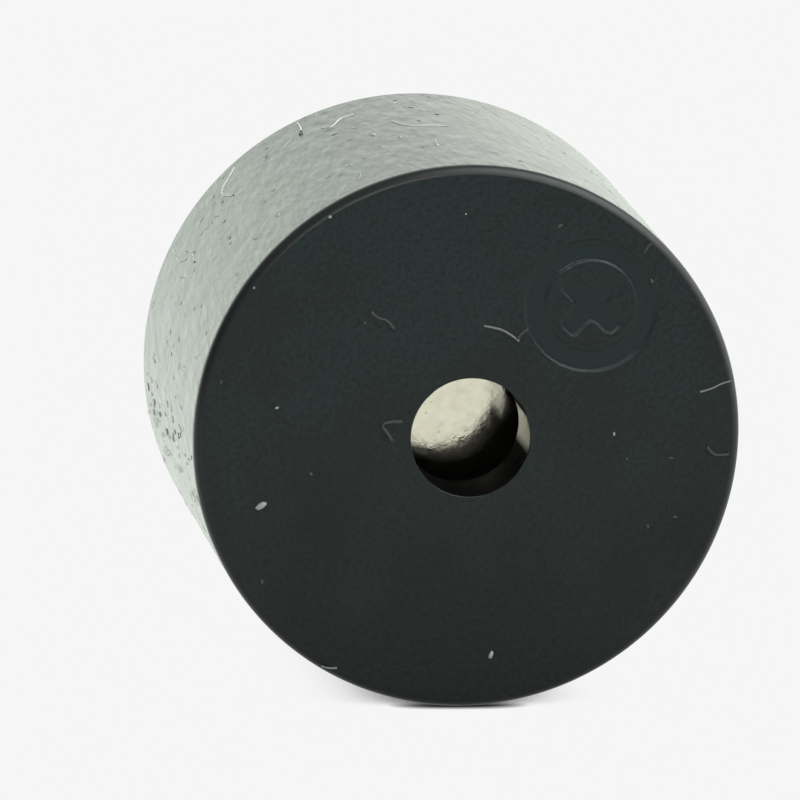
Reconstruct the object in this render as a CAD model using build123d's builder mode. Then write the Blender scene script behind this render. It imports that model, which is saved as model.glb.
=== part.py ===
from build123d import *
import math
import os

os.makedirs("parts", exist_ok=True)

# Housing: one black moulding, closed at the sound end and open at the pin end
body_d = 12.0
body_h = 9.5
front_wall = 1.2
rim_wall = 0.75
front_edge_r = 0.3
rim_chamfer = 0.15
sound_hole_d = 2.7
sound_neck_len = 1.7
sound_neck_wall = 0.8
plate_depth = 2.8
plate_ledge = 0.55
board_ledge = 0.25

# Sounder: metal plate, ceramic disc on its back, two silver electrodes and the silicone round its rim
plate_t = 0.12
plate_clearance = 0.1
ceramic_margin = 1.25
ceramic_t = 0.15
electrode_margin = 0.3
electrode_t = 0.03
tongue_len = 2.2
tongue_w = 1.3
tongue_gap = 0.25
tongue_angle = 140.0
adhesive_w = 0.4
adhesive_h = 0.5

# Circuit board, its copper and the resin below it
board_t = 0.8
board_clearance = 0.1
copper_t = 0.05
track_w = 0.3
wire_pad_d = 1.0
copper_edge_gap = 0.1
potting_recess = 0.25
potting_t = 2.15
meniscus_w = 0.5
meniscus_h = 0.08

# Pins: round wire, coined flat where the resin grips it
pin_d = 0.6
pin_inset = 2.2
positive_pin_len = 8.0
negative_pin_len = 6.5
pin_tip_chamfer = 0.12
pin_stub = 0.75
pin_pad_d = 1.3
pin_hole_clearance = 0.05
anchor_cover = 0.05
anchor_len = 0.75
anchor_t = 0.36
anchor_w = 0.78
pin_solder_h = 0.55

# Transistor with three gull-wing legs
transistor_len = 2.9
transistor_w = 1.3
transistor_h = 0.95
transistor_standoff = 0.06
transistor_draft = 7.0
leg_pitch = 0.95
leg_span = 2.4
leg_w = 0.4
leg_t = 0.12
leg_embed = 0.3
leg_shoulder = 0.13
leg_foot = 0.28
leg_bend_r = 0.1
leg_pad_w = 0.6
leg_pad_len = 0.7

# Chip resistors
chip_len = 1.6
chip_w = 0.8
chip_h = 0.45
chip_cap_len = 0.3
chip_cap_t = 0.05
chip_pad_reach = 0.2

# Wires between the board and the sounder, and their solder
lead_d = 0.16
lead_rise_share = 0.38
lead_drop_share = 0.34
lead_solder_d = 0.64
lead_solder_h = 0.26

# Places on the board, as shares of the free radius above it
transistor_place_shares = (0.0, 0.3)
bias_place_shares = (0.51, 0.38)
collector_place_shares = (0.35, -0.2)
feedback_place_shares = (0.0, 0.77)
plate_pad_shares = (-0.52, -0.48)
main_pad_shares = (0.0, -0.2)
feedback_pad_shares = (-0.38, 0.7)
along_x = 0.0
along_y = 90.0

# Places of the wires on the sounder
plate_spot_angle = 232.0
main_spot_angle = 280.0
main_spot_share = 0.5
feedback_spot_share = 0.35

# Radii, from the outside of the can inwards
body_r = body_d / 2
sound_hole_r = sound_hole_d / 2
neck_r = sound_hole_r + sound_neck_wall
board_bore_r = body_r - rim_wall
board_r = board_bore_r - board_clearance
chamber_r = board_bore_r - board_ledge
plate_r = chamber_r - plate_clearance
front_cavity_r = plate_r - plate_ledge
adhesive_inner_r = plate_r - adhesive_w
ceramic_r = plate_r - ceramic_margin
electrode_r = ceramic_r - electrode_margin
pin_r = pin_d / 2
pin_x = body_r - pin_inset
pin_hole_r = pin_r + pin_hole_clearance

# Heights above the seating plane of the rim
front_wall_z = body_h - front_wall
neck_end_z = body_h - sound_neck_len
plate_front_z = body_h - plate_depth
plate_back_z = plate_front_z - plate_t
ceramic_back_z = plate_back_z - ceramic_t
electrode_back_z = ceramic_back_z - electrode_t
board_bottom_z = potting_recess + potting_t
board_top_z = board_bottom_z + board_t
copper_top_z = board_top_z + copper_t
anchor_bottom_z = potting_recess + anchor_cover
anchor_top_z = anchor_bottom_z + anchor_len
pin_top_z = board_top_z + pin_stub


def board_place(shares):
    """A place on the board from its shares of the free radius."""
    return (chamber_r * shares[0], chamber_r * shares[1])


def polar_place(radius, angle):
    """A place on the sounder from its distance to the axis and its direction."""
    return (radius * math.cos(math.radians(angle)), radius * math.sin(math.radians(angle)))


transistor_place = board_place(transistor_place_shares)
chips = {
    "bias_resistor": (board_place(bias_place_shares), along_y),
    "collector_resistor": (board_place(collector_place_shares), along_x),
    "feedback_resistor": (board_place(feedback_place_shares), along_x),
}
plate_pad = board_place(plate_pad_shares)
main_pad = board_place(main_pad_shares)
feedback_pad = board_place(feedback_pad_shares)
positive_place = (pin_x, 0)
negative_place = (-pin_x, 0)

plate_spot = polar_place((ceramic_r + adhesive_inner_r) / 2, plate_spot_angle)
main_spot = polar_place(electrode_r * main_spot_share, main_spot_angle)
feedback_spot = polar_place(electrode_r - tongue_len * feedback_spot_share, tongue_angle)

# Housing: the turned section seats the sounder and the board, and has a neck behind the sound hole
housing_section = (
    ((sound_hole_r, body_h), 0),
    ((body_r, body_h), front_edge_r),
    ((body_r, 0), 0),
    ((board_bore_r, 0), 0),
    ((board_bore_r, board_top_z), 0),
    ((chamber_r, board_top_z), 0),
    ((chamber_r, plate_front_z), 0),
    ((front_cavity_r, plate_front_z), 0),
    ((front_cavity_r, front_wall_z), 0),
    ((neck_r, front_wall_z), 0),
    ((neck_r, neck_end_z), 0),
    ((sound_hole_r, neck_end_z), 0),
)
section_points = [point for point, rounding in housing_section]
section_radii = [rounding for point, rounding in housing_section]
with BuildPart() as housing:
    with BuildSketch(Plane.XZ):
        with BuildLine():
            FilletPolyline(section_points, radius=section_radii, close=True)
        make_face()
    revolve(axis=Axis.Z)
    chamfer(housing.edges().group_by(Axis.Z)[0], length=rim_chamfer)
housing.part.label = "housing"
export_step(housing.part, "parts/housing.step")

# Vibration plate: a plain disc cut from nickel-alloy strip
with BuildPart() as vibration_plate:
    with BuildSketch(Plane.XY.offset(plate_back_z)):
        Circle(plate_r)
    extrude(amount=plate_t)
vibration_plate.part.label = "vibration_plate"
export_step(vibration_plate.part, "parts/vibration_plate.step")

# Piezo ceramic: a thin fired disc bonded to the back of the plate
with BuildPart() as piezo_ceramic:
    with BuildSketch(Plane.XY.offset(ceramic_back_z)):
        Circle(ceramic_r)
    extrude(amount=ceramic_t)
piezo_ceramic.part.label = "piezo_ceramic"
export_step(piezo_ceramic.part, "parts/piezo_ceramic.step")

# Main electrode: a silver film over the ceramic, cut back round the feedback tongue
with BuildPart() as main_electrode:
    with BuildSketch(Plane.XY.offset(electrode_back_z)):
        Circle(electrode_r)
        with PolarLocations(electrode_r, 1, start_angle=tongue_angle):
            SlotOverall(2 * (tongue_len + tongue_gap), tongue_w + 2 * tongue_gap, mode=Mode.SUBTRACT)
    extrude(amount=electrode_t)
main_electrode.part.label = "main_electrode"
export_step(main_electrode.part, "parts/main_electrode.step")

# Feedback electrode: a silver tongue from the rim inwards, with a round inner end
with BuildPart() as feedback_electrode:
    with BuildSketch(Plane.XY.offset(electrode_back_z)):
        with PolarLocations(electrode_r, 1, start_angle=tongue_angle):
            SlotOverall(2 * tongue_len, tongue_w)
        Circle(electrode_r, mode=Mode.INTERSECT)
    extrude(amount=electrode_t)
feedback_electrode.part.label = "feedback_electrode"
export_step(feedback_electrode.part, "parts/feedback_electrode.step")

# Plate adhesive: silicone in the gap round the plate and in a bead behind its rim
with BuildPart() as plate_adhesive:
    with BuildSketch(Plane.XZ):
        with BuildLine():
            Polyline(
                (adhesive_inner_r, plate_back_z),
                (plate_r, plate_back_z),
                (plate_r, plate_front_z),
                (chamber_r, plate_front_z),
                (chamber_r, plate_back_z - adhesive_h),
                close=True,
            )
        make_face()
    revolve(axis=Axis.Z)
plate_adhesive.part.label = "plate_adhesive"
export_step(plate_adhesive.part, "parts/plate_adhesive.step")

# Circuit board: a round blank with a hole for each pin
with BuildPart() as circuit_board:
    with BuildSketch(Plane.XY.offset(board_bottom_z)):
        Circle(board_r)
        with Locations(positive_place, negative_place):
            Circle(pin_hole_r, mode=Mode.SUBTRACT)
    extrude(amount=board_t)
circuit_board.part.label = "circuit_board"
export_step(circuit_board.part, "parts/circuit_board.step")


def chip_ends(name, reach):
    """The two places at a reach either way along a chip from its middle, first end first."""
    place, angle = chips[name]
    return [Vector(*place) + Vector(way * reach, 0).rotate(Axis.Z, angle) for way in (-1, 1)]


def leg_foot_place(offset, way):
    """The middle of the foot of a transistor leg, at an offset along the body and on one side of it."""
    return Vector(*transistor_place) + Vector(offset, way * (leg_span - leg_foot) / 2)


# Copper tracks: a pad under each joint, and tracks that link them in five nets
chip_pad_len = chip_cap_len + chip_pad_reach
chip_pad_middle = (chip_len + chip_pad_reach - chip_cap_len) / 2
bias_low, bias_high = chip_ends("bias_resistor", chip_pad_middle)
collector_inner, collector_outer = chip_ends("collector_resistor", chip_pad_middle)
feedback_left, feedback_right = chip_ends("feedback_resistor", chip_pad_middle)
collector_leg = leg_foot_place(0, -1)
base_leg = leg_foot_place(leg_pitch, 1)
emitter_leg = leg_foot_place(-leg_pitch, 1)
tracks = (
    (positive_place, bias_low),
    (positive_place, collector_outer),
    (collector_leg, main_pad),
    (main_pad, collector_inner),
    (base_leg, bias_high),
    (base_leg, feedback_right),
    (feedback_left, feedback_pad),
    (negative_place, emitter_leg),
    (negative_place, plate_pad),
)
with BuildPart() as copper_tracks:
    with BuildSketch(Plane.XY.offset(board_top_z)):
        for start, end in tracks:
            with BuildLine():
                Line(start, end)
            trace(line_width=track_w)
        for name, (place, angle) in chips.items():
            with Locations(*chip_ends(name, chip_pad_middle)):
                Rectangle(chip_pad_len, chip_w, rotation=angle)
        with Locations(collector_leg, base_leg, emitter_leg):
            Rectangle(leg_pad_w, leg_pad_len)
        with Locations(plate_pad, main_pad, feedback_pad):
            Circle(wire_pad_d / 2)
        with Locations(positive_place, negative_place):
            Circle(pin_pad_d / 2)
        Circle(chamber_r - copper_edge_gap, mode=Mode.INTERSECT)
        with Locations(positive_place, negative_place):
            Circle(pin_hole_r, mode=Mode.SUBTRACT)
    extrude(amount=copper_t)
copper_tracks.part.label = "copper_tracks"
export_step(copper_tracks.part, "parts/copper_tracks.step")

# Transistor legs: bent strip, out of the body at half its height and down to a flat foot
body_middle_z = copper_top_z + transistor_standoff + transistor_h / 2
foot_middle_z = copper_top_z + leg_t / 2
leg_line = (
    (transistor_w / 2 - leg_embed, body_middle_z),
    (transistor_w / 2 + leg_shoulder, body_middle_z),
    (leg_span / 2 - leg_foot, foot_middle_z),
    (leg_span / 2, foot_middle_z),
)


def make_leg(offset, way):
    """One leg, drawn from the side and as wide as the strip."""
    origin = Vector(*transistor_place) + Vector(offset - way * leg_w / 2, 0)
    with BuildPart() as leg:
        with BuildSketch(Plane(origin=origin, x_dir=(0, way, 0), z_dir=(way, 0, 0))):
            with BuildLine():
                FilletPolyline(leg_line, radius=leg_bend_r)
            trace(line_width=leg_t)
        extrude(amount=leg_w)
    return leg.part


legs = [make_leg(0, -1), make_leg(leg_pitch, 1), make_leg(-leg_pitch, 1)]
with BuildPart() as transistor_legs:
    add(legs)
transistor_legs.part.label = "transistor_legs"
export_step(transistor_legs.part, "parts/transistor_legs.step")

# Driver transistor: a moulded body that tapers both ways from the parting line, round its legs
with BuildPart() as driver_transistor:
    with BuildSketch(Plane.XY.offset(body_middle_z)):
        with Locations(transistor_place):
            Rectangle(transistor_len, transistor_w)
    extrude(amount=transistor_h / 2, both=True, taper=transistor_draft)
    add(legs, mode=Mode.SUBTRACT)
driver_transistor.part.label = "driver_transistor"
export_step(driver_transistor.part, "parts/driver_transistor.step")


def make_chip_body(name):
    """The ceramic bar of a chip resistor, held off the board by its end caps."""
    place, angle = chips[name]
    with BuildPart() as chip:
        with BuildSketch(Plane.XY.offset(copper_top_z + chip_cap_t)):
            with Locations(place):
                Rectangle(chip_len - 2 * chip_cap_t, chip_w, rotation=angle)
        extrude(amount=chip_h - 2 * chip_cap_t)
    return chip.part


# Chip resistors: three alike, each a node of its own
chip_bodies = []
for name in chips:
    chip = make_chip_body(name)
    chip.label = name
    export_step(chip, f"parts/{name}.step")
    chip_bodies.append(chip)

# Resistor terminals: plated caps that wrap the ends of each chip
with BuildPart() as resistor_terminals:
    with BuildSketch(Plane.XY.offset(copper_top_z)):
        for name, (place, angle) in chips.items():
            with Locations(*chip_ends(name, (chip_len - chip_cap_len) / 2)):
                Rectangle(chip_cap_len, chip_w, rotation=angle)
    extrude(amount=chip_h)
    add(chip_bodies, mode=Mode.SUBTRACT)
resistor_terminals.part.label = "resistor_terminals"
export_step(resistor_terminals.part, "parts/resistor_terminals.step")


def make_lead(pad, spot, spot_z):
    """A fine wire, kinked twice: upright out of its pad, slanted, and upright onto the sounder."""
    foot = Vector(*pad, copper_top_z)
    head = Vector(*spot, spot_z)
    height = spot_z - copper_top_z
    low_bend = foot + Vector(0, 0, height * lead_rise_share)
    high_bend = head - Vector(0, 0, height * lead_drop_share)
    with BuildPart() as lead:
        with BuildLine():
            Polyline(foot, low_bend, high_bend, head)
        with BuildSketch(Plane(origin=foot, z_dir=(0, 0, 1))):
            Circle(lead_d / 2)
        sweep(transition=Transition.RIGHT)
    return lead.part


# Leads: plate to the negative pin, main electrode to the collector, feedback tongue to its resistor
leads = {
    "plate_lead": (plate_pad, plate_spot, plate_back_z),
    "main_lead": (main_pad, main_spot, electrode_back_z),
    "feedback_lead": (feedback_pad, feedback_spot, electrode_back_z),
}
for name, ends in leads.items():
    lead = make_lead(*ends)
    lead.label = name
    export_step(lead, f"parts/{name}.step")


def make_solder(place, base_z, foot_r, wire_r, rise):
    """A cone of solder drawn out to nothing up, or down, a wire from its pad."""
    with BuildPart() as solder:
        with BuildSketch(Plane(origin=(*place, base_z), x_dir=(1, 0, 0), z_dir=(0, -1, 0))):
            with BuildLine():
                Polyline((wire_r, 0), (foot_r, 0), (wire_r, rise), close=True)
            make_face()
        revolve(axis=Axis((*place, base_z), (0, 0, 1)))
    return solder.part


# Lead solder: one small joint at each end of each wire
joints = []
for pad, spot, spot_z in leads.values():
    joints.append(make_solder(pad, copper_top_z, lead_solder_d / 2, lead_d / 2, lead_solder_h))
    joints.append(make_solder(spot, spot_z, lead_solder_d / 2, lead_d / 2, -lead_solder_h))
with BuildPart() as lead_solder:
    add(joints)
lead_solder.part.label = "lead_solder"
export_step(lead_solder.part, "parts/lead_solder.step")


def make_pin(place, free_len):
    """A round pin with a coined anchor in the resin, and a stub that stands through the board."""
    with BuildPart() as pin:
        with BuildSketch(Plane.XY.offset(-free_len)):
            with Locations(place):
                Circle(pin_r)
        extrude(amount=free_len + anchor_bottom_z)
        with BuildSketch(Plane.XY.offset(anchor_bottom_z)):
            with Locations(place):
                Rectangle(anchor_t, anchor_w)
        extrude(amount=anchor_len)
        with BuildSketch(Plane.XY.offset(anchor_top_z)):
            with Locations(place):
                Circle(pin_r)
        extrude(amount=pin_top_z - anchor_top_z)
        chamfer(pin.edges().group_by(Axis.Z)[0], length=pin_tip_chamfer)
    return pin.part


# Pins: the longer one marks the positive side
pins = {
    "positive_pin": make_pin(positive_place, positive_pin_len),
    "negative_pin": make_pin(negative_place, negative_pin_len),
}
for name, pin in pins.items():
    pin.label = name
    export_step(pin, f"parts/{name}.step")

# Pin solder: fills the hole round each pin and climbs its stub
pin_cones = [
    make_solder(place, copper_top_z, pin_pad_d / 2, pin_r, pin_solder_h)
    for place in (positive_place, negative_place)
]
with BuildPart() as pin_solder:
    with BuildSketch(Plane.XY.offset(board_bottom_z)):
        with Locations(positive_place, negative_place):
            Circle(pin_hole_r)
            Circle(pin_r, mode=Mode.SUBTRACT)
    extrude(amount=copper_top_z - board_bottom_z)
    add(pin_cones)
pin_solder.part.label = "pin_solder"
export_step(pin_solder.part, "parts/pin_solder.step")

# Base potting: resin poured round the pins, drawn a little down the wall of the can
with BuildPart() as base_potting:
    with BuildSketch(Plane.XZ):
        with BuildLine():
            Polyline(
                (board_bore_r, potting_recess - meniscus_h),
                (board_bore_r, board_bottom_z),
                (0, board_bottom_z),
                (0, potting_recess),
                (board_bore_r - meniscus_w, potting_recess),
                close=True,
            )
        make_face()
    revolve(axis=Axis.Z)
    add(pins.values(), mode=Mode.SUBTRACT)
base_potting.part.label = "base_potting"
export_step(base_potting.part, "parts/base_potting.step")
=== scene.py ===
import math
import random

import bmesh
import bpy
import numpy as np
from mathutils import Matrix, Vector, geometry, noise


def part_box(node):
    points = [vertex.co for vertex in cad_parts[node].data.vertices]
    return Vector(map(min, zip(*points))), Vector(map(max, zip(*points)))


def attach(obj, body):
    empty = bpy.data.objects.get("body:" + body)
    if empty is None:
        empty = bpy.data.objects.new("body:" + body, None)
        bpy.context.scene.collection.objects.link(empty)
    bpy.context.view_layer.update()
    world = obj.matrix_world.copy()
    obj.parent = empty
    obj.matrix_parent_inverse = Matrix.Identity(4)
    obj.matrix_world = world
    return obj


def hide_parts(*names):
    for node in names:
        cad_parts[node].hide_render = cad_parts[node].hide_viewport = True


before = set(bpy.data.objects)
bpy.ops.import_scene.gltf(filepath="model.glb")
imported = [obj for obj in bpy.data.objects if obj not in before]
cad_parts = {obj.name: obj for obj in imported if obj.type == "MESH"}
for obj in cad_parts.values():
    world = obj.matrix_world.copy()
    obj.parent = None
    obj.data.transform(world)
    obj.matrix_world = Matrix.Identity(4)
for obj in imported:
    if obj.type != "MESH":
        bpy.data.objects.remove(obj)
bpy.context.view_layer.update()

# Viewpoint: the can lies on its side on a table, and a long lens looks at its face from a little above.
# One line of its wall touches the table, opposite the table's upward direction; the table's right is
# the camera's, and along runs with the can's axis.
mm = 0.001
image_px = 800
focal_px = 11030
sensor_w = 36.0
nearest = 10 * mm
farthest = 2000 * mm
camera_place = Vector((10.98, 58.04, 241.7)) * mm
camera_target = Vector((-0.397, 1.695, 9.5)) * mm
camera_up_hint = Vector((0.724, 0.665, -0.19))
camera_forward = (camera_target - camera_place).normalized()
camera_right = camera_forward.cross(camera_up_hint).normalized()
camera_up = camera_right.cross(camera_forward)
contact_angle = math.radians(222.6)
table_up = -Vector((math.cos(contact_angle), math.sin(contact_angle), 0))
table_right = Vector((camera_right.x, camera_right.y, 0)).normalized()
table_along = Vector((0, 0, 1))

camera_data = bpy.data.cameras.new("camera")
camera_data.lens = focal_px / image_px * sensor_w
camera_data.sensor_width = sensor_w
camera_data.clip_start = nearest
camera_data.clip_end = farthest
camera = bpy.data.objects.new("camera", camera_data)
camera_axes = Matrix((camera_right, camera_up, -camera_forward)).transposed()
camera.matrix_world = Matrix.Translation(camera_place) @ camera_axes.to_4x4()
bpy.context.collection.objects.link(camera)
bpy.context.scene.camera = camera

# Housing: one can moulded in black glass-filled plastic, open at the back, with stepped bores for all that
# goes in there. Its face is spark-grained and its wall smoother. A neck leads to the sound hole, and a
# polarity mark is sunk in the face over the positive pin.
housing_points = [v.co.copy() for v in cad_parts["housing"].data.vertices]


def ring_radii(height):
    """The radii at which the housing has points at one height, smallest first."""
    near = 0.01 * mm
    found = [p.xy.length for p in housing_points if abs(p.z - height) < near]
    return sorted({round(radius / near) * near for radius in found})


body_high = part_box("housing")[1]
body_r = body_high.x
body_h = body_high.z
face_hole_r, *_, face_flat_r = ring_radii(body_h)
rim_inner_r, *_, rim_outer_r = ring_radii(0)
rim_chamfer = body_r - rim_outer_r
board_bore_r = rim_inner_r - rim_chamfer
board_top_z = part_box("circuit_board")[1].z
chamber_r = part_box("plate_adhesive")[1].x
plate_front_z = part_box("vibration_plate")[1].z
front_cavity_r = ring_radii(plate_front_z)[0]
support_gap = 0.015 * mm
neck_end_z = min(p.z for p in housing_points if p.xy.length < face_hole_r + support_gap)
neck_r = ring_radii(neck_end_z)[-1]
front_wall_z = max(p.z for p in housing_points if abs(p.xy.length - front_cavity_r) < support_gap)
hole_taken_in = 0.04 * mm
hole_r = face_hole_r - hole_taken_in
hole_edge_r = 0.03 * mm
hole_off_axis = Vector((0.052, -0.032)) * mm

# The front edge turns from the face through less than a right angle, so a crease stays where they meet.
front_edge_r = body_r - face_flat_r
front_edge_start = 68
front_turn_r = front_edge_r / math.sin(math.radians(front_edge_start))
face_border_r = body_r - front_turn_r * (1 - math.cos(math.radians(front_edge_start)))
wall_top_z = body_h - front_edge_r
wall_bottom_z = rim_chamfer
segments = 576
wall_rows = 116
edge_steps = 10
edge_bands = 7


def arc_points(centre, radius, start, end, steps):
    """Points on an arc of the turned section, both ends included, angles in degrees."""
    angles = [math.radians(start + (end - start) * i / steps) for i in range(steps + 1)]
    return [(centre[0] + radius * math.cos(t), centre[1] + radius * math.sin(t)) for t in angles]


wall_h = wall_top_z - wall_bottom_z
wall_heights = [wall_top_z - wall_h * (i + 1) / wall_rows for i in range(wall_rows)]
front_edge = arc_points((body_r - front_turn_r, wall_top_z), front_turn_r, front_edge_start, 0, edge_steps)
hole_edge = arc_points((hole_r + hole_edge_r, body_h - hole_edge_r), hole_edge_r, 180, 90, edge_steps // 2)
outer_skin = front_edge + [(body_r, z) for z in wall_heights]
inner_skin = [
    (rim_outer_r, 0),
    (rim_inner_r, 0),
    (board_bore_r, rim_chamfer),
    (board_bore_r, board_top_z),
    (chamber_r, board_top_z),
    (chamber_r, plate_front_z),
    (front_cavity_r, plate_front_z),
    (front_cavity_r, front_wall_z),
    (neck_r, front_wall_z),
    (neck_r, neck_end_z),
    (hole_r, neck_end_z),
]
can_section = outer_skin + inner_skin + hole_edge

relief_seed = 11
relief_count = 420
relief_mm = (0.05, 0.12)
swell_mm = (0.004, 0.014)
relief_end = 0.2 * mm
draw_out = 4


def wall_relief(angles, heights):
    """How far the moulded wall stands proud at each point: blisters and pits, drawn out along the can."""
    rng = random.Random(relief_seed)
    raised = np.zeros_like(angles)
    for _ in range(relief_count):
        angle = rng.uniform(0, 2 * math.pi)
        height = rng.uniform(wall_bottom_z, wall_top_z)
        size = rng.uniform(*relief_mm) * mm
        swell = rng.choice((1, 1, -1)) * rng.uniform(*swell_mm) * mm
        across = (np.remainder(angles - angle + math.pi, 2 * math.pi) - math.pi) * body_r
        away = (across ** 2 + ((heights - height) / draw_out) ** 2) / size ** 2
        raised += swell * np.clip(1 - away, 0, None) ** 2
    fade = np.clip(np.minimum(heights - wall_bottom_z, wall_top_z - heights) / relief_end, 0, 1)
    return raised * fade


# The can's finishes, in the order of its materials; the neck is polished on the table's right only.
grained_face, smooth_wall, rounded_edge, polished_neck, mark_flank, matt_neck = range(6)
neck_polished = (-17, 20)
neck_ring_start = len(can_section) - len(hole_edge) - 1
turns = np.arange(segments) * 2 * math.pi / segments


def skin_finish(index, turn):
    """Which finish the can has on one band of its section at one turn round its axis."""
    if edge_bands <= index < len(outer_skin):
        return smooth_wall
    if index != neck_ring_start:
        return rounded_edge
    outward = Vector((math.cos(turn), math.sin(turn), 0))
    around = math.degrees(math.atan2(outward.dot(table_up), outward.dot(table_right)))
    return polished_neck if neck_polished[0] < around < neck_polished[1] else matt_neck


can_points = []
for index, (radius, height) in enumerate(can_section):
    radii = np.full(segments, radius)
    if len(front_edge) <= index < len(outer_skin):
        radii = radii + wall_relief(turns, np.full(segments, height))
    centre = hole_off_axis if index >= neck_ring_start else Vector((0, 0))
    across, along = centre.x + radii * np.cos(turns), centre.y + radii * np.sin(turns)
    can_points += [tuple(p) for p in np.column_stack((across, along, np.full(segments, height)))]
can_faces = []
can_finish = []
for index in range(len(can_section) - 1):
    here, there = index * segments, (index + 1) * segments
    for i in range(segments):
        step = (i + 1) % segments
        can_faces.append((here + i, there + i, there + step, here + step))
        can_finish.append(skin_finish(index, turns[i]))

# The face is filled in between its border and the sound hole, with the mark's outlines laid into it.
mark_centre = Vector((3.935, 0.06)) * mm
mark_ring_outer_r = 1.45 * mm
mark_ring_inner_r = 1.0 * mm
plus_centre = Vector((3.965, 0.08)) * mm
mark_plus_reach = 0.8 * mm
mark_plus_half_w = 0.23 * mm
mark_corner_r = 0.12 * mm
corner_bulge = 0.29
mark_depth = 0.05 * mm
mark_flank_w = 0.1 * mm
flank_steps = 4
border_points = segments // 4
outer_ring_points = 120
inner_ring_points = 96


def circle_loop(centre, radius, count):
    """Points round a circle on the face."""
    angles = [2 * math.pi * i / count for i in range(count)]
    return [centre + Vector((radius * math.cos(t), radius * math.sin(t))) for t in angles]


def plus_loop(centre, grow):
    """The outline of the plus, grown or shrunk all round, with round corners."""
    reach, half = mark_plus_reach + grow, mark_plus_half_w + grow
    corners = []
    for quarter in range(4):
        turn = Matrix.Rotation(quarter * math.pi / 2, 2)
        corners += [turn @ Vector(p) for p in ((half, -half), (reach, -half), (reach, half))]
    loop = []
    for i, corner in enumerate(corners):
        before = (corners[i - 1] - corner).normalized() * mark_corner_r
        after = (corners[(i + 1) % len(corners)] - corner).normalized() * mark_corner_r
        loop += [corner + before, corner + (before + after) * corner_bulge, corner + after]
    return [centre + p for p in loop]


def mark_loops(inset, height):
    """The mark's three outlines, moved by an inset into the sunk part, each with its height."""
    return [
        (circle_loop(mark_centre, mark_ring_outer_r - inset, outer_ring_points), height),
        (circle_loop(mark_centre, mark_ring_inner_r + inset, inner_ring_points), height),
        (plus_loop(plus_centre, -inset), height),
    ]


face_loops = [
    (circle_loop(Vector((0, 0)), face_border_r - support_gap, border_points), 0),
    (circle_loop(hole_off_axis, hole_r + hole_edge_r + support_gap, border_points), 0),
]
for step in range(flank_steps + 1):
    share = step / flank_steps
    sunk = 0.5 - 0.5 * math.cos(math.pi * share)
    face_loops += mark_loops((share - 0.5) * mark_flank_w, -sunk * mark_depth)
beside_flank = 0.5 * mark_flank_w + support_gap
face_loops += mark_loops(-beside_flank, 0)
face_loops += mark_loops(beside_flank, -mark_depth)

flat_points = [Vector(p[:2]) for p in can_points[:segments] + can_points[-segments:]]
flat_heights = [0.0] * len(flat_points)
flat_edges = []
for start in (0, segments):
    flat_edges += [(start + i, start + (i + 1) % segments) for i in range(segments)]
for loop, height in face_loops:
    start = len(flat_points)
    flat_points += loop
    flat_heights += [height] * len(loop)
    flat_edges += [(start + i, start + (i + 1) % len(loop)) for i in range(len(loop))]
weld_gap = 1e-6
filled = geometry.delaunay_2d_cdt([p / mm for p in flat_points], flat_edges, [], 0, weld_gap)
filled_points, _, filled_faces, filled_sources, _, _ = filled
hole_ring_start = len(can_points) - segments
face_index = []
for point, sources in zip(filled_points, filled_sources):
    source = sources[0]
    if source < segments:
        face_index.append(source)
    elif source < 2 * segments:
        face_index.append(hole_ring_start + source - segments)
    else:
        face_index.append(len(can_points))
        can_points.append((point.x * mm, point.y * mm, body_h + flat_heights[source]))
for triangle in filled_faces:
    middle = sum((filled_points[i] for i in triangle), Vector((0, 0))) / len(triangle)
    if (middle - hole_off_axis / mm).length > hole_r / mm and middle.length < face_border_r / mm:
        can_faces.append(tuple(face_index[i] for i in triangle))
        sunk = {round((can_points[face_index[i]][2] - body_h) / mark_depth, 3) for i in triangle}
        can_finish.append(mark_flank if len(sunk) > 1 else grained_face)

sharp_angle = math.radians(35)
can_mesh = bpy.data.meshes.new("moulded_can")
can_mesh.from_pydata(can_points, [], can_faces)
can_mesh.polygons.foreach_set("material_index", can_finish)
can_mesh.polygons.foreach_set("use_smooth", [True] * len(can_faces))
can_mesh.set_sharp_from_angle(angle=sharp_angle)
for edge in can_mesh.edges:
    if max(edge.vertices) < segments:
        edge.use_edge_sharp = True
can_mesh.update()
moulded_can = bpy.data.objects.new("moulded_can", can_mesh)
bpy.context.collection.objects.link(moulded_can)
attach(moulded_can, "root")
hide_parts("housing")


def put(tree, kind, sockets=None, **settings):
    """Adds a shader node, sets it up, and links or sets its sockets."""
    made = tree.nodes.new(kind)
    for name, value in settings.items():
        setattr(made, name, value)
    for name, value in (sockets or {}).items():
        if isinstance(value, bpy.types.NodeSocket):
            tree.links.new(value, made.inputs[name])
        else:
            made.inputs[name].default_value = value
    return made


def new_finish(name):
    """An empty material, its shader and the object's own coordinates in millimetres."""
    finish = bpy.data.materials.new(name)
    finish.use_nodes = True
    tree = finish.node_tree
    tree.nodes.clear()
    shader = put(tree, "ShaderNodeBsdfPrincipled")
    put(tree, "ShaderNodeOutputMaterial", {"Surface": shader.outputs[0]})
    place = put(tree, "ShaderNodeTexCoord").outputs["Object"]
    scaled = put(tree, "ShaderNodeVectorMath", {0: place, "Scale": 1 / mm}, operation="SCALE")
    return finish, tree, shader, scaled.outputs[0]


def speckle(tree, place, per_mm, detail=2.0, rough=0.5):
    """Soft noise with so many spots to the millimetre."""
    sockets = {"Vector": place, "Scale": per_mm, "Detail": detail, "Roughness": rough}
    return put(tree, "ShaderNodeTexNoise", sockets).outputs["Fac"]


def spread(tree, value, low, high, to_low, to_high):
    """A value stretched from one range to another."""
    sockets = {"Value": value, "From Min": low, "From Max": high, "To Min": to_low, "To Max": to_high}
    return put(tree, "ShaderNodeMapRange", sockets).outputs["Result"]


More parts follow.
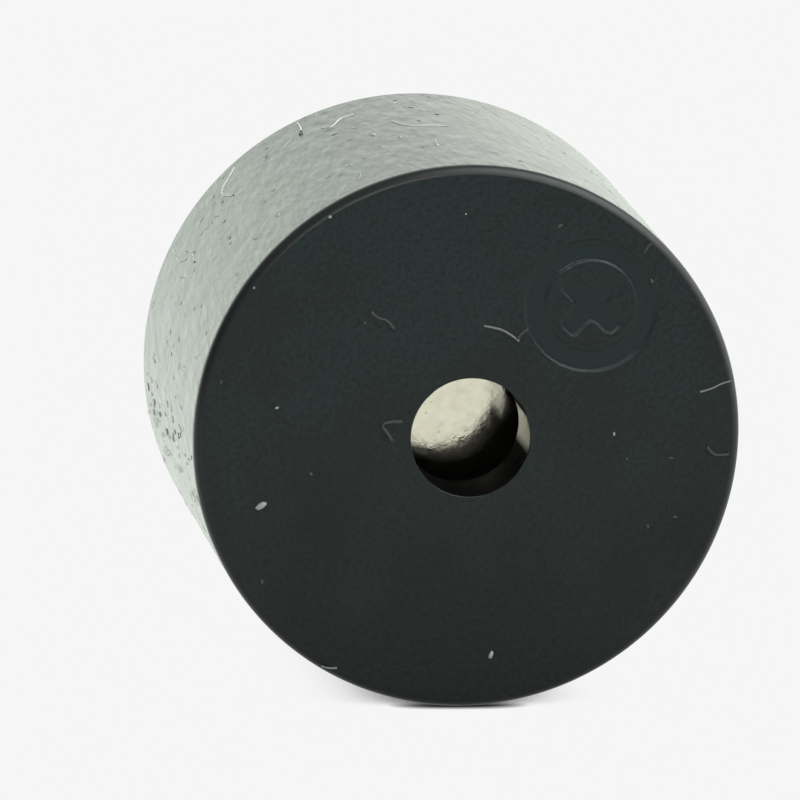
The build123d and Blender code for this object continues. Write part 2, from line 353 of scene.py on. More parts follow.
def mottled(tree, place, per_mm, to_low, to_high, detail=2.0, rough=0.5):
    """Soft noise, of which the middle part is stretched to a range."""
    return spread(tree, speckle(tree, place, per_mm, detail, rough), 0.3, 0.7, to_low, to_high)


def reckon(tree, operation, first, second):
    """The result of a sum on two values."""
    return put(tree, "ShaderNodeMath", {0: first, 1: second}, operation=operation).outputs[0]


def reach_along(tree, place, direction):
    """How far a place lies along a direction."""
    dotted = put(tree, "ShaderNodeVectorMath", {0: place, 1: direction}, operation="DOT_PRODUCT")
    return dotted.outputs["Value"]


def blend_colours(tree, share, first, second):
    """A colour between two others, which are given as red, green and blue or as a node's output."""
    first, second = [c if isinstance(c, bpy.types.NodeSocket) else (*c, 1) for c in (first, second)]
    return put(tree, "ShaderNodeMix", {0: share, 6: first, 7: second}, data_type="RGBA").outputs[2]


def dents(tree, height, depth, after=None):
    """A bump of a real depth in metres, on top of another where one is given."""
    sockets = {"Height": height, "Distance": depth, "Strength": 1.0}
    if after is not None:
        sockets["Normal"] = after
    return put(tree, "ShaderNodeBump", sockets).outputs["Normal"]


def cover(tree, shader, shade, rough, skin, fixed=None):
    """Gives a shader its colour, roughness and uneven skin, and the values that are the same all over."""
    tree.links.new(shade, shader.inputs["Base Color"])
    tree.links.new(rough, shader.inputs["Roughness"])
    tree.links.new(skin, shader.inputs["Normal"])
    for socket, value in (fixed or {}).items():
        shader.inputs[socket].default_value = value


# The face's colour is graded: lighter and greener towards the top, away from the table, darker and greyer
# towards the bottom.
face_low_tone = (0.0068, 0.0092, 0.0085)
face_high_tone = (0.0080, 0.0212, 0.0203)
face_tone_rise = (-4.5, 5.0)
grain_pit = (0.0008, 0.0030, 0.0030)
mark_floor = (0.0045, 0.0165, 0.0150)
mark_floor_z = [(body_h - share * mark_depth) / mm for share in (0.4, 0.9)]
face_grain_depth = 0.03 * mm
face_ior = 1.45
face_finish, tree, shader, place = new_finish("grained_face")
height = put(tree, "ShaderNodeSeparateXYZ", {0: place}).outputs["Z"]
in_mark = spread(tree, height, *mark_floor_z, 0, 1)
# The top-to-bottom grade of the face's colour, softly mottled, from the lower tone to the higher one.
upward = reach_along(tree, place, table_up)
cloud = reckon(tree, "ADD", upward, mottled(tree, place, 0.5, -3, 3, 3))
face_tone_share = spread(tree, cloud, *face_tone_rise, 0, 1)
shade = blend_colours(tree, face_tone_share, face_low_tone, face_high_tone)
grain = spread(tree, speckle(tree, place, 10, 3, 0.6), 0.25, 0.6, 0, 1)
shade = blend_colours(tree, grain, grain_pit, shade)
shade = blend_colours(tree, in_mark, shade, mark_floor)
rough = mottled(tree, place, 6, 0.42, 0.58)
grained = dents(tree, speckle(tree, place, 6, 3, 0.6), face_grain_depth)
cover(tree, shader, shade, rough, grained, {"IOR": face_ior})

wall_dark = (0.0080, 0.0130, 0.0105)
wall_pale = (0.0130, 0.0190, 0.0150)
wall_roll_depth = 0.022 * mm
wall_ripple_depth = 0.023 * mm
moulding_ior = 1.5
wall_gloss = {
    "IOR": moulding_ior,
    "Coat Weight": 0.75,
    "Coat Roughness": 0.18,
    "Sheen Weight": 0.22,
    "Sheen Roughness": 0.35,
    "Sheen Tint": (0.75, 1.0, 0.78, 1),
}
wall_finish, tree, shader, place = new_finish("smooth_wall")
shade = blend_colours(tree, mottled(tree, place, 0.9, 0, 1, 4, 0.6), wall_dark, wall_pale)
rough = mottled(tree, place, 1.2, 0.16, 0.28, 4, 0.6)
drawn = put(tree, "ShaderNodeMapping", {"Vector": place, "Scale": (1.0, 1.0, 1 / draw_out)})
drawn = drawn.outputs["Vector"]
rolling = dents(tree, speckle(tree, drawn, 2.2, 3), wall_roll_depth)
uneven = dents(tree, speckle(tree, drawn, 5, 1.5), wall_ripple_depth, rolling)
cover(tree, shader, shade, rough, uneven, wall_gloss)
tree.links.new(uneven, shader.inputs["Coat Normal"])

edge_dark = (0.0040, 0.0080, 0.0080)
edge_pale = (0.0065, 0.0090, 0.0088)
edge_grain_depth = 0.004 * mm
edge_finish, tree, shader, place = new_finish("rounded_edge")
cloud = spread(tree, speckle(tree, place, 3), 0.35, 0.65, 0, 1)
shade = blend_colours(tree, cloud, edge_dark, edge_pale)
grained = dents(tree, speckle(tree, place, 5, 3), edge_grain_depth)
cover(tree, shader, shade, mottled(tree, place, 4, 0.3, 0.4), grained, {"IOR": moulding_ior})

neck_dark = (0.0015, 0.0020, 0.0020)
neck_pale = (0.0030, 0.0036, 0.0036)
neck_dull_to = neck_polished[0] + 11
neck_wave_depth = 0.0006 * mm
neck_finish, tree, shader, place = new_finish("polished_neck")
shade = blend_colours(tree, speckle(tree, place, 2), neck_dark, neck_pale)
upward = reach_along(tree, place, table_up)
sideways = reach_along(tree, place, table_right)
around = reckon(tree, "ARCTAN2", upward, sideways)
rough = spread(tree, around, math.radians(neck_polished[0]), math.radians(neck_dull_to), 0.45, 0.03)
waved = dents(tree, speckle(tree, place, 2), neck_wave_depth)
cover(tree, shader, shade, rough, waved, {"IOR": moulding_ior})

flank_dark = (0.0030, 0.0115, 0.0108)
flank_pale = (0.0050, 0.0150, 0.0140)
flank_grain_depth = 0.02 * mm
flank_finish, tree, shader, place = new_finish("mark_flank")
worn = spread(tree, speckle(tree, place, 1.4), 0.35, 0.65, 0, 1)
shade = blend_colours(tree, worn, flank_dark, flank_pale)
rough = spread(tree, worn, 0, 1, 0.22, 0.44)
grained = dents(tree, speckle(tree, place, 6, 3, 0.6), flank_grain_depth)
cover(tree, shader, shade, rough, grained, {"IOR": face_ior})

matt_dark = (0.0036, 0.0038, 0.0038)
matt_pale = (0.0050, 0.0052, 0.0052)
matt_grain_depth = 0.004 * mm
matt_shine = 0.02
matt_finish, tree, shader, place = new_finish("matt_neck")
shade = blend_colours(tree, speckle(tree, place, 2), matt_dark, matt_pale)
grained = dents(tree, speckle(tree, place, 4), matt_grain_depth)
cover(tree, shader, shade, mottled(tree, place, 3, 0.45, 0.6), grained, {"Specular IOR Level": matt_shine})

for finish in (face_finish, wall_finish, edge_finish, neck_finish, flank_finish, matt_finish):
    can_mesh.materials.append(finish)

# Vibration plate: a disc punched from bright rolled nickel-iron strip, glued by its rim behind the hole.
# It is the pale disc seen down the sound hole, finely pitted and a little crinkled.
strip_bright = (0.735, 0.69, 0.595)
strip_yellowed = (0.70, 0.65, 0.535)
pit_stain = (0.42, 0.40, 0.28)
pits_per_mm = 3.2
crinkle_depth = 0.0025 * mm
plate_finish, tree, shader, place = new_finish("bright_strip")
pits = put(tree, "ShaderNodeTexVoronoi", {"Vector": place, "Scale": pits_per_mm}, feature="F1")
pits = spread(tree, pits.outputs["Distance"], 0.03, 0.12, 1, 0)
some = spread(tree, speckle(tree, place, 0.9), 0.47, 0.55, 0, 1)
shade = blend_colours(tree, mottled(tree, place, 3, 0, 1, 4, 0.6), strip_bright, strip_yellowed)
shade = blend_colours(tree, reckon(tree, "MULTIPLY", pits, some), shade, pit_stain)
crinkled = dents(tree, speckle(tree, place, 6, 3, 0.6), crinkle_depth)
cover(tree, shader, shade, mottled(tree, place, 5, 0.08, 0.17), crinkled, {"Metallic": 1.0})


def dress(finish, *nodes):
    """Gives solids of the frame their finish."""
    for node in nodes:
        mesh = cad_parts[node].data
        mesh.materials.clear()
        mesh.materials.append(finish)


dress(plate_finish, "vibration_plate")

# Piezo ceramic and its electrodes: a fired disc bonded to the back of the plate, with silver printed
# through a fine mesh on it: a large field for driving and a tongue that feeds back to the transistor.
ceramic_dark = (0.56, 0.49, 0.35)
ceramic_pale = (0.66, 0.59, 0.44)
ceramic_speck = (0.40, 0.33, 0.22)
ceramic_grain_depth = 0.003 * mm
ceramic_finish, tree, shader, place = new_finish("fired_ceramic")
clouded = mottled(tree, place, 1.5, 0, 1, 4, 0.6)
shade = blend_colours(tree, clouded, ceramic_dark, ceramic_pale)
specks = spread(tree, speckle(tree, place, 14), 0.68, 0.74, 0, 1)
shade = blend_colours(tree, specks, shade, ceramic_speck)
grained = dents(tree, speckle(tree, place, 12, 3), ceramic_grain_depth)
cover(tree, shader, shade, spread(tree, clouded, 0, 1, 0.58, 0.74), grained)
dress(ceramic_finish, "piezo_ceramic")


def metal_finish(name, bright, dull, rough_range, spots_per_mm, depth):
    """A metal, mottled between a bright, smooth state and a dull, rough one, with a fine uneven skin."""
    finish, tree, shader, place = new_finish(name)
    mottle = mottled(tree, place, spots_per_mm, 0, 1, 3, 0.6)
    shade = blend_colours(tree, mottle, bright, dull)
    uneven = dents(tree, speckle(tree, place, 3 * spots_per_mm), depth)
    cover(tree, shader, shade, spread(tree, mottle, 0, 1, *rough_range), uneven, {"Metallic": 1.0})
    return finish


silver_bright = (0.82, 0.81, 0.77)
silver_dull = (0.74, 0.72, 0.67)
silver_rough = (0.34, 0.5)
print_depth = 0.003 * mm
silver_finish = metal_finish("printed_silver", silver_bright, silver_dull, silver_rough, 4, print_depth)
dress(silver_finish, "main_electrode", "feedback_electrode")

# Plate adhesive: a bead of clouded silicone, run round the rim of the plate in its seat.
# It sets soft, so it holds the plate yet lets it swing.
silicone_dark = (0.66, 0.67, 0.65)
silicone_pale = (0.78, 0.78, 0.75)
bead_wave_depth = 0.01 * mm
adhesive_finish, tree, shader, place = new_finish("clouded_silicone")
clouded = mottled(tree, place, 2, 0, 1, 3)
shade = blend_colours(tree, clouded, silicone_dark, silicone_pale)
waved = dents(tree, speckle(tree, place, 3), bead_wave_depth)
cover(tree, shader, shade, spread(tree, clouded, 0, 1, 0.28, 0.42), waved)
dress(adhesive_finish, "plate_adhesive")

# Leads and their solder: fine tinned wires from the board up to the plate and the electrodes,
# with a small cone of solder at each end.
tin_bright = (0.74, 0.73, 0.70)
tin_dull = (0.62, 0.61, 0.58)
tin_rough = (0.24, 0.4)
tin_depth = 0.002 * mm
wire_finish = metal_finish("tinned_wire", tin_bright, tin_dull, tin_rough, 5, tin_depth)
dress(wire_finish, "plate_lead", "main_lead", "feedback_lead")
solder_bright = (0.68, 0.68, 0.67)
solder_dull = (0.54, 0.54, 0.54)
solder_rough = (0.2, 0.42)
solder_depth = 0.006 * mm
solder_finish = metal_finish("set_solder", solder_bright, solder_dull, solder_rough, 3, solder_depth)
dress(solder_finish, "lead_solder")

# Circuit board and copper tracks: a round blank of woven laminate, bare but for its etched copper,
# which joins transistor, resistors, wires and pins.
threads_per_mm = 2.4
thread_wander = 0.6
resin_dark = (0.34, 0.26, 0.12)
thread_pale = (0.46, 0.36, 0.18)
board_stain = (0.36, 0.25, 0.10)
weave_depth = 0.006 * mm
board_finish, tree, shader, place = new_finish("woven_laminate")
threads = {"Vector": place, "Scale": threads_per_mm, "Distortion": thread_wander}
warp, weft = [put(tree, "ShaderNodeTexWave", threads, bands_direction=way) for way in ("X", "Y")]
weave = reckon(tree, "MULTIPLY", warp.outputs["Fac"], weft.outputs["Fac"])
shade = blend_colours(tree, weave, resin_dark, thread_pale)
blotch = spread(tree, speckle(tree, place, 0.8, 3), 0.4, 0.7, 0, 0.6)
shade = blend_colours(tree, blotch, shade, board_stain)
cover(tree, shader, shade, spread(tree, weave, 0, 1, 0.48, 0.6), dents(tree, weave, weave_depth))
dress(board_finish, "circuit_board")
copper_bright = (0.76, 0.43, 0.28)
copper_dull = (0.56, 0.29, 0.18)
copper_rough = (0.3, 0.48)
etch_depth = 0.003 * mm
copper_finish = metal_finish("etched_copper", copper_bright, copper_dull, copper_rough, 2.5, etch_depth)
dress(copper_finish, "copper_tracks")

# Transistor: a black epoxy body moulded round three legs of tinned strip.
# The legs are bent down to the copper and soldered there.
epoxy_dark = (0.014, 0.014, 0.015)
epoxy_pale = (0.026, 0.026, 0.027)
epoxy_grain_depth = 0.004 * mm
epoxy_finish, tree, shader, place = new_finish("moulded_epoxy")
grain = mottled(tree, place, 9, 0, 1, 3, 0.6)
shade = blend_colours(tree, grain, epoxy_dark, epoxy_pale)
cover(tree, shader, shade, spread(tree, grain, 0, 1, 0.5, 0.68), dents(tree, grain, epoxy_grain_depth))
dress(epoxy_finish, "driver_transistor")
dress(wire_finish, "transistor_legs")

# Chip resistors: three bars of white fired alumina with plated ends,
# laid flat on the copper and soldered by those ends.
alumina_dark = (0.72, 0.71, 0.67)
alumina_pale = (0.82, 0.81, 0.78)
alumina_grain_depth = 0.002 * mm
chip_finish, tree, shader, place = new_finish("white_alumina")
clouded = mottled(tree, place, 6, 0, 1, 3, 0.6)
shade = blend_colours(tree, clouded, alumina_dark, alumina_pale)
grained = dents(tree, speckle(tree, place, 18), alumina_grain_depth)
cover(tree, shader, shade, spread(tree, clouded, 0, 1, 0.5, 0.62), grained)
dress(chip_finish, "bias_resistor", "collector_resistor", "feedback_resistor")
dress(solder_finish, "resistor_terminals")

# Pins: two lengths of round tinned steel wire with drawn lines along them, soldered into the board;
# the longer is the positive one.
pin_bright = (0.72, 0.72, 0.70)
pin_line = (0.64, 0.64, 0.62)
pin_dull = (0.52, 0.51, 0.48)
pin_line_squeeze = 0.06
pin_line_depth = 0.0025 * mm
pin_finish, tree, shader, place = new_finish("tinned_pin")
drawn = put(tree, "ShaderNodeMapping", {"Vector": place, "Scale": (1.0, 1.0, pin_line_squeeze)})
lines = mottled(tree, drawn.outputs["Vector"], 16, 0, 1, 3)
dulled = spread(tree, speckle(tree, place, 1.3, 4, 0.6), 0.45, 0.75, 0, 1)
shade = blend_colours(tree, lines, pin_bright, pin_line)
shade = blend_colours(tree, dulled, shade, pin_dull)
scored = dents(tree, lines, pin_line_depth)
cover(tree, shader, shade, spread(tree, dulled, 0, 1, 0.2, 0.42), scored, {"Metallic": 1.0})
dress(pin_finish, "positive_pin", "negative_pin")
dress(solder_finish, "pin_solder")

# Base potting: black resin poured over the back of the board, round the pins.
# It fills the open end of the can and sets glossy and a little uneven.
resin_black = (0.011, 0.011, 0.013)
resin_grey = (0.020, 0.020, 0.021)
pool_depth = 0.12 * mm
resin_grain_depth = 0.004 * mm
potting_finish, tree, shader, place = new_finish("poured_resin")
shade = blend_colours(tree, mottled(tree, place, 1.1, 0, 1, 3), resin_black, resin_grey)
pool = dents(tree, speckle(tree, place, 0.6), pool_depth)
grained = dents(tree, speckle(tree, place, 5), resin_grain_depth, pool)
cover(tree, shader, shade, mottled(tree, place, 2.5, 0.08, 0.24, 3), grained)
dress(potting_finish, "base_potting")

# Dust on the face: loose crumbs, a few of them pale and the others faint, as squashed and lumpy pellets.
# Each lies where the photograph shows it, given as a pixel with the crumb's radius in pixels.
bright_speck_pixels = {
    (261, 506): 4.4, (491, 655): 3.0, (277, 408): 1.5, (614, 434): 1.5, (330, 217): 1.6, (466, 214): 1.0,
    (254, 288): 1.1,
}
dim_speck_pixels = {
    (560, 226): 2.2, (311, 474): 1.8, (365, 323): 1.6, (221, 382): 1.6, (262, 582): 1.6, (671, 458): 1.6,
    (675, 517): 1.6, (648, 526): 1.6, (627, 459): 1.4, (652, 281): 2.2,
}
px_per_mm = focal_px * mm / (camera_target - camera_place).length
face_outward = Vector((0, 0, 1))
speck_flatness = 0.5
speck_stretch = (1.0, 1.5)
pellet_lumps = 0.3
lumps_across = 1.7
lump_variety = 0.1
dirt_seed = 23
rng = random.Random(dirt_seed)


def pixel_ray(pixel):
    """The direction in which the photograph's camera sees a pixel."""
    across, down = pixel[0] - image_px / 2, pixel[1] - image_px / 2
    return (camera_forward * focal_px + camera_right * across - camera_up * down).normalized()


def on_face(pixel, lift):
    """The point that a pixel shows on the face."""
    ray = pixel_ray(pixel)
    return camera_place + ray * ((body_h + lift - camera_place.z) / ray.z)


def add_pellet(points, faces, place, outward, size, flatness, stretch=None):
    """Adds a lumpy pellet, flattened outward, to a mesh in the making.

    A stretch that is given lies along the can; without one, stretch and turn are drawn at random.
    """
    ball = bmesh.new()
    bmesh.ops.create_icosphere(ball, subdivisions=2, radius=1)
    if stretch is None:
        stretch = rng.uniform(*speck_stretch)
        turn = outward.to_track_quat("Z", "Y").to_matrix()
        turn = turn @ Matrix.Rotation(rng.uniform(0, 2 * math.pi), 3, "Z")
    else:
        turn = Matrix((table_along, outward.cross(table_along), outward)).transposed()
    start = len(points)
    for vert in ball.verts:
        swell = 1 + pellet_lumps * noise.noise(vert.co * lumps_across + place / size * lump_variety)
        local = Vector((vert.co.x * stretch, vert.co.y / stretch, vert.co.z * flatness)) * size * swell
        points.append(place + turn @ local)
    faces.extend(tuple(start + v.index for v in face.verts) for face in ball.faces)
    ball.free()


def dirt_piece(name, mesh, finish):
    """A smooth-shaded piece of dirt that rides the can."""
    mesh.polygons.foreach_set("use_smooth", [True] * len(mesh.polygons))
    mesh.materials.clear()
    mesh.materials.append(finish)
    piece = bpy.data.objects.new(name, mesh)
    bpy.context.collection.objects.link(piece)
    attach(piece, "root")
    return piece


def pellet_piece(name, points, faces, finish):
    """A piece of dirt from the pellets that were added up for it."""
    mesh = bpy.data.meshes.new(name)
    mesh.from_pydata(points, [], faces)
    return dirt_piece(name, mesh, finish)


def dust_finish(name, dark, light):
    """Matt dust or lint, uneven between two tones."""
    finish, tree, shader, place = new_finish(name)
    shade = blend_colours(tree, speckle(tree, place, 20), dark, light)
    tree.links.new(shade, shader.inputs["Base Color"])
    tree.links.new(mottled(tree, place, 30, 0.6, 0.9), shader.inputs["Roughness"])
    return finish


grey_dust = dust_finish("grey_dust", (0.20, 0.22, 0.215), (0.44, 0.46, 0.45))
dim_dust = dust_finish("dim_dust", (0.045, 0.052, 0.050), (0.085, 0.092, 0.090))
speck_kinds = {
    "bright_specks": (bright_speck_pixels, grey_dust),
    "dim_specks": (dim_speck_pixels, dim_dust),
}
for name, (spots, finish) in speck_kinds.items():
    points, faces = [], []
    for pixel, radius_px in spots.items():
        size = radius_px / px_per_mm * mm
        add_pellet(points, faces, on_face(pixel, 0), face_outward, size, speck_flatness)
    pellet_piece(name, points, faces, finish)

# Flecks and scuffs of the wall: flat blisters of the moulding, of the same plastic and finish, with one
# round crumb among them. Those that show in the photograph lie there; others are scattered all round,
# and more on the side that is scuffed, which is given in degrees from the table's right.
fleck_pixels = {
    (266, 156): 2.2, (222, 202): 2.2, (224, 221): 2.6, (229, 238): 2.0, (364, 158): 2.0, (201, 306): 2.2,
    (170, 332): 2.2, (173, 346): 2.0, (171, 354): 2.4, (273, 190): 2.4, (379, 146): 2.2, (411, 107): 2.6,
    (437, 114): 2.6, (395, 100): 2.4,
}
fleck_scale = 1.5
fleck_flatness = 0.12
fleck_stretch = 1.5
stray_fleck_count = 100
stray_fleck_mm = (0.025, 0.075)
stray_fleck_flatness = 0.15
stray_fleck_stretch = (0.6, 1.6)
scuff_seed = 5
scuff_count = 110
scuffed_side = (160, 194)
scuff_end_gap = 0.25 * mm
scuff_mm = (0.06, 0.13)
scuff_flatness = 0.045
scuff_stretch = (1.3, 2.2)
crumb_pixel = (301, 134)
crumb_px = 2.4
crumb_flatness = 1.0


def on_wall(pixel, lift):
    """The point that a pixel shows on the curved wall."""
    ray = pixel_ray(pixel)
    a = ray.xy.length_squared
    b = camera_place.xy.dot(ray.xy)
    c = camera_place.xy.length_squared - (body_r + lift) ** 2
    return camera_place + ray * ((-b - math.sqrt(max(b * b - a * c, 0))) / a)


def out_of_wall(spot):
    """The direction straight out of the wall at a point on it."""
    return Vector((spot.x, spot.y, 0)).normalized()


points, faces = [], []
for pixel, radius_px in fleck_pixels.items():
    spot = on_wall(pixel, 0)
    size = fleck_scale * radius_px / px_per_mm * mm
    add_pellet(points, faces, spot, out_of_wall(spot), size, fleck_flatness, fleck_stretch)
for _ in range(stray_fleck_count):
    angle = rng.uniform(0, 2 * math.pi)
    outward = Vector((math.cos(angle), math.sin(angle), 0))
    spot = outward * body_r + table_along * rng.uniform(wall_bottom_z, wall_top_z)
    size = rng.uniform(*stray_fleck_mm) * mm
    stretch = rng.uniform(*stray_fleck_stretch)
    add_pellet(points, faces, spot, outward, size, stray_fleck_flatness, stretch)
scuff_rng = random.Random(scuff_seed)
for _ in range(scuff_count):
    angle = math.radians(scuff_rng.uniform(*scuffed_side))
    outward = table_right * math.cos(angle) + table_up * math.sin(angle)
    height = scuff_rng.uniform(wall_bottom_z + scuff_end_gap, wall_top_z - scuff_end_gap)
    spot = outward * body_r + table_along * height
    size = scuff_rng.uniform(*scuff_mm) * mm
    stretch = scuff_rng.uniform(*scuff_stretch)
    add_pellet(points, faces, spot, outward, size, scuff_flatness, stretch)
spot = on_wall(crumb_pixel, 0)
add_pellet(points, faces, spot, out_of_wall(spot), crumb_px / px_per_mm * mm, crumb_flatness)
wall_flecks = pellet_piece("wall_flecks", points, faces, wall_finish)

# Grains on the wall: pale grit that sticks to the smooth plastic, as low, drawn-out pellets.
# Each lies where the photograph shows it.
grain_pixels = {
    (255, 238): 3.0, (278, 215): 2.8, (237, 274): 2.6, (266, 143): 2.2, (373, 135): 2.8, (351, 165): 2.4,
    (400, 137): 2.2, (437, 145): 2.6, (228, 236): 1.8, (222, 200): 1.6,
}
grain_scale = 1.3
grain_flatness = 0.3
grain_stretch = 1.4
pale_grain = dust_finish("pale_grain", (0.36, 0.39, 0.36), (0.58, 0.62, 0.57))
points, faces = [], []
for pixel, radius_px in grain_pixels.items():
    spot = on_wall(pixel, 0)
    size = grain_scale * radius_px / px_per_mm * mm
    add_pellet(points, faces, spot, out_of_wall(spot), size, grain_flatness, grain_stretch)
pellet_piece("wall_grains", points, faces, pale_grain)

# Lint: textile fibres that lie loose on the face and on the wall, as thin bent tubes.
# Each follows a few pixels along which the photograph shows it.
bright_fibre_pixels = [
    [(484, 326), (497, 328), (509, 333), (519, 341)],
    [(700, 392), (712, 389), (722, 383), (731, 381)],
    [(321, 666), (328, 669), (337, 668)],
]
dim_fibre_pixels = [
    [(371, 312), (378, 319), (388, 320), (394, 329)],
    [(517, 339), (522, 333), (528, 329)],
    [(402, 422), (392, 421), (380, 425), (388, 433), (392, 441)],
    [(707, 447), (711, 453), (719, 456), (729, 454)],
    [(644, 253), (647, 247), (652, 243)],
]
wall_fibre_pixels = [
    [(234, 168), (228, 179), (221, 190), (223, 197), (233, 195)],
    [(172, 246), (175, 258), (180, 262), (187, 258), (185, 250), (190, 250), (194, 256), (194, 262)],
    [(321, 128), (329, 128), (335, 124), (341, 117), (354, 115)],
    [(392, 121), (402, 125), (416, 126), (430, 125), (447, 126)],
    [(297, 123), (301, 126), (301, 131)],
]
bright_fibre_r = 0.022 * mm
dim_fibre_r = 0.036 * mm
wall_fibre_r = 0.018 * mm
fibre_lift = (-0.1, 0.5)
fibre_thickness = (0.7, 1.15)
grey_lint = dust_finish("grey_lint", (0.11, 0.12, 0.118), (0.25, 0.26, 0.255))
dim_lint = dust_finish("dim_lint", (0.030, 0.036, 0.035), (0.064, 0.070, 0.068))
white_lint = dust_finish("white_lint", (0.80, 0.84, 0.78), (0.92, 0.95, 0.90))


def lay_lint(name, runs, surface, fibre_r, finish):
    """Thin tubes along runs of places, which a function puts on one of the can's surfaces."""
    curve = bpy.data.curves.new(name, "CURVE")
    curve.dimensions = "3D"
    curve.bevel_depth = fibre_r
    curve.bevel_resolution = 2
    curve.resolution_u = 6
    for run in runs:
        strand = curve.splines.new("NURBS")
        strand.points.add(len(run) - 1)
        strand.order_u = 3
        strand.use_endpoint_u = True
        for knot, place in zip(strand.points, run):
            knot.co = (*surface(place, fibre_r * rng.uniform(*fibre_lift)), 1)
            knot.radius = rng.uniform(*fibre_thickness)
    strands = bpy.data.objects.new(name, curve)
    bpy.context.collection.objects.link(strands)
    evaluated = strands.evaluated_get(bpy.context.evaluated_depsgraph_get())
    mesh = bpy.data.meshes.new_from_object(evaluated)
    bpy.data.objects.remove(strands)
    dirt_piece(name, mesh, finish)


lay_lint("bright_face_lint", bright_fibre_pixels, on_face, bright_fibre_r, grey_lint)
lay_lint("dim_face_lint", dim_fibre_pixels, on_face, dim_fibre_r, dim_lint)
lay_lint("wall_lint", wall_fibre_pixels, on_wall, wall_fibre_r, white_lint)

# Short lint: finer ends of fibre that cling to the wall all round, each a slightly bent tube.
# They lie at random, mostly along the can, and sink a little into the wall's relief.
short_count = 100
short_r = 0.01 * mm
short_knots = 4
short_reach_mm = (0.03, 0.12)
short_bend = (-0.5, 0.5)
short_sunk = (-0.5, 0.3)
short_drawn_out = 2.5
pale_lint = dust_finish("pale_lint", (0.50, 0.54, 0.49), (0.78, 0.82, 0.76))
short_runs = []
for _ in range(short_count):
    angle = rng.uniform(0, 2 * math.pi)
    height = rng.uniform(wall_bottom_z, wall_top_z)
    heading = rng.uniform(0, 2 * math.pi)
    bend = rng.uniform(*short_bend)
    reach = rng.uniform(*short_reach_mm) * mm
    run = []
    for _ in range(short_knots):
        outward = Vector((math.cos(angle), math.sin(angle), 0))
        run.append(outward * (body_r + short_r * rng.uniform(*short_sunk)) + table_along * height)
        angle += reach * math.cos(heading) / body_r
        height += short_drawn_out * reach * math.sin(heading)
        height = min(max(height, wall_bottom_z), wall_top_z)
        heading += bend
    short_runs.append(run)
lay_lint("short_lint", short_runs, lambda place, lift: place, short_r, pale_lint)

# Table: a plain white sheet that the can lies on. To the camera it is as white as the page, but for the
# can's shadow, which is dark where they touch and thin in front of the face. Seen in the can's surface it
# is a little green, and darker close to the can and in front of it. From below it isn't seen.
table_half_w = 120 * mm
table_front = 62 * mm
table_back = 190 * mm
table_gap = 0.015 * mm
table_across = table_up.cross(table_along)
table_line = -table_up * (body_r + table_gap)
table_corners = [
    table_line + table_across * side * table_half_w + table_along * reach
    for side, reach in ((-1, -table_back), (1, -table_back), (1, table_front), (-1, table_front))
]
table_mesh = bpy.data.meshes.new("table")
table_mesh.from_pydata(table_corners, [], [(0, 1, 2, 3)])
if table_mesh.polygons[0].normal.dot(table_up) < 0:
    table_mesh.flip_normals()
table = bpy.data.objects.new("table", table_mesh)
bpy.context.collection.objects.link(table)

page_white = 0.922
white = (1, 1, 1)
table_grey = (0.85, 0.85, 0.85, 1)
mirrored_tint = (0.95, 1.0, 0.94)
contact_reach = 1.6 * mm
contact_open = (0.03, 0.48)
contact_falloff = -6
contact_darkest = 0.01
front_reach = 0.22 * mm
front_open = (0.15, 0.95)
front_darkest = 0.05
front_starts = (body_h - 0.6 * mm, body_h - 0.3 * mm)
shade_reach = 9 * mm
shade_open = (0.55, 0.92)
shade_darkest = 0.6
past_face_starts = (body_h - 0.5 * mm, body_h)
clearing_reach = 22 * mm
clearing_darkest = 0.52
table_paint = bpy.data.materials.new("table_paint")
table_paint.use_nodes = True
tree = table_paint.node_tree
tree.nodes.clear()


def openness(tree, reach, samples):
    """How open the table is to its surround within a reach, from 0 to 1."""
    return put(tree, "ShaderNodeAmbientOcclusion", {"Distance": reach}, samples=samples).outputs["AO"]


def between(tree, share, first, second):
    """A value between two others."""
    return put(tree, "ShaderNodeMix", {0: share, 2: first, 3: second}).outputs[0]


light_path = put(tree, "ShaderNodeLightPath").outputs
is_camera = light_path["Is Camera Ray"]
table_place = put(tree, "ShaderNodeTexCoord").outputs["Object"]
ahead = put(tree, "ShaderNodeSeparateXYZ", {0: table_place}).outputs["Z"]
contact = openness(tree, contact_reach, 16)
depth = spread(tree, contact, *contact_open, 0, contact_falloff)
under = spread(tree, reckon(tree, "POWER", math.e, depth), 0, 1, page_white, contact_darkest)
in_front = spread(tree, ahead, *front_starts, 0, 1)
front_shadow = spread(tree, openness(tree, front_reach, 16), *front_open, front_darkest, 1)
front_line = between(tree, in_front, 1.0, front_shadow)
seen_level = reckon(tree, "MULTIPLY", under, front_line)
past_face = spread(tree, ahead, *past_face_starts, 0, 1)
clearing = spread(tree, ahead, body_h, body_h + clearing_reach, clearing_darkest, 1.0)
shaded = spread(tree, openness(tree, shade_reach, 8), *shade_open, shade_darkest, 1.0)
mirrored_level = reckon(tree, "MULTIPLY", shaded, between(tree, past_face, 1.0, clearing))
level = between(tree, is_camera, mirrored_level, seen_level)
page_tint = blend_colours(tree, is_camera, mirrored_tint, white)
glow = put(tree, "ShaderNodeEmission", {"Color": page_tint, "Strength": level})
pale = put(tree, "ShaderNodeBsdfDiffuse", {"Color": table_grey})
seen = reckon(tree, "MAXIMUM", is_camera, light_path["Is Glossy Ray"])
seen = reckon(tree, "MAXIMUM", seen, light_path["Is Transmission Ray"])
front = put(tree, "ShaderNodeMixShader", {0: seen, 1: pale.outputs[0], 2: glow.outputs[0]})
clear = put(tree, "ShaderNodeBsdfTransparent")
behind = put(tree, "ShaderNodeNewGeometry").outputs["Backfacing"]
both = put(tree, "ShaderNodeMixShader", {0: behind, 1: front.outputs[0], 2: clear.outputs[0]})
put(tree, "ShaderNodeOutputMaterial", {"Surface": both.outputs[0]})
table_mesh.materials.append(table_paint)

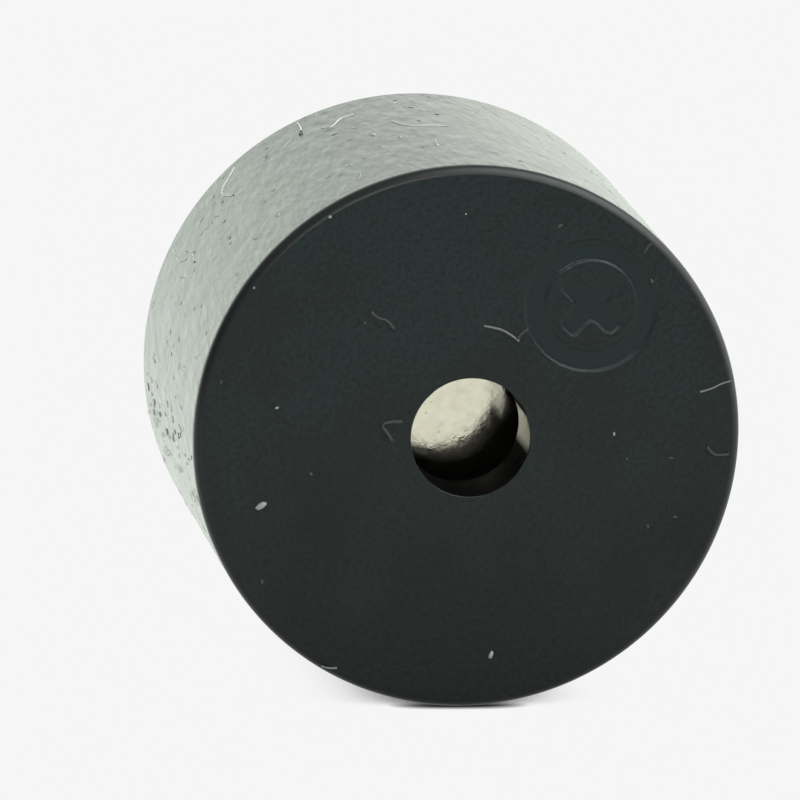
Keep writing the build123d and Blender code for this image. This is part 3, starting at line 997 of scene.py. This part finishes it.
# Surround: the room that lights the can and that its surfaces mirror. It is dim in front and white far
# behind, with soft patches: dark on the left and round the camera, bright on the right, above and in front.
# The camera itself sees a plain white page.
dim_room = 0.35
far_level = 0.95
far_starts = (0.0, -0.35)
far_fades = (0.62, 0.02)
far_left_tint = (0.93, 1.0, 0.92)
far_right_tint = (0.985, 1.0, 0.945)
far_tint_turns = (-0.12, 0.14)
sky_patches = [
    {"right": -0.97, "up": 0.2, "front": 0.0, "inner": 12, "outer": 30, "level": 0.1},
    {"right": 0.95, "up": 0.2, "front": -0.2, "inner": 18, "outer": 40, "level": 1.8},
    {"right": -0.08, "up": 0.58, "front": 0.81, "inner": 10, "outer": 16, "level": 2.2},
    {"right": -0.27, "up": 0.47, "front": 0.84, "inner": 5, "outer": 13, "level": 4.2},
    {"right": 0.50, "up": 0.82, "front": 0.2, "inner": 12, "outer": 40, "level": 3.4},
    {"right": 0.0, "up": 0.06, "front": 0.99, "inner": 17, "outer": 20, "level": 0.012},
]
world = bpy.data.worlds.new("surround")
bpy.context.scene.world = world
world.use_nodes = True
tree = world.node_tree
tree.nodes.clear()
way = put(tree, "ShaderNodeTexCoord").outputs["Generated"]
upward = reach_along(tree, way, table_up)
sideways = reach_along(tree, way, table_right)
forward = put(tree, "ShaderNodeSeparateXYZ", {0: way}).outputs["Z"]


def eased(tree, value, low, high):
    """A share that eases from 0 at one value to 1 at another."""
    sockets = {"Value": value, "From Min": low, "From Max": high}
    return put(tree, "ShaderNodeMapRange", sockets, interpolation_type="SMOOTHSTEP").outputs["Result"]


far_behind = eased(tree, forward, *far_starts)
far_white = reckon(tree, "MULTIPLY", far_behind, eased(tree, upward, *far_fades))
level = between(tree, far_white, dim_room, far_level)
for patch in sky_patches:
    centre = table_right * patch["right"] + table_up * patch["up"] + table_along * patch["front"]
    facing = reach_along(tree, way, centre.normalized())
    edges = [math.cos(math.radians(patch[edge])) for edge in ("outer", "inner")]
    level = between(tree, eased(tree, facing, *edges), level, patch["level"])
is_camera = put(tree, "ShaderNodeLightPath").outputs["Is Camera Ray"]
level = between(tree, is_camera, level, page_white)
turned = eased(tree, sideways, *far_tint_turns)
far_tint = blend_colours(tree, turned, far_left_tint, far_right_tint)
tint = blend_colours(tree, far_white, white, far_tint)
tint = blend_colours(tree, is_camera, tint, white)
sky = put(tree, "ShaderNodeBackground", {"Color": tint, "Strength": level})
put(tree, "ShaderNodeOutputWorld", {"Surface": sky.outputs[0]})

bpy.context.scene.view_settings.view_transform = "Standard"
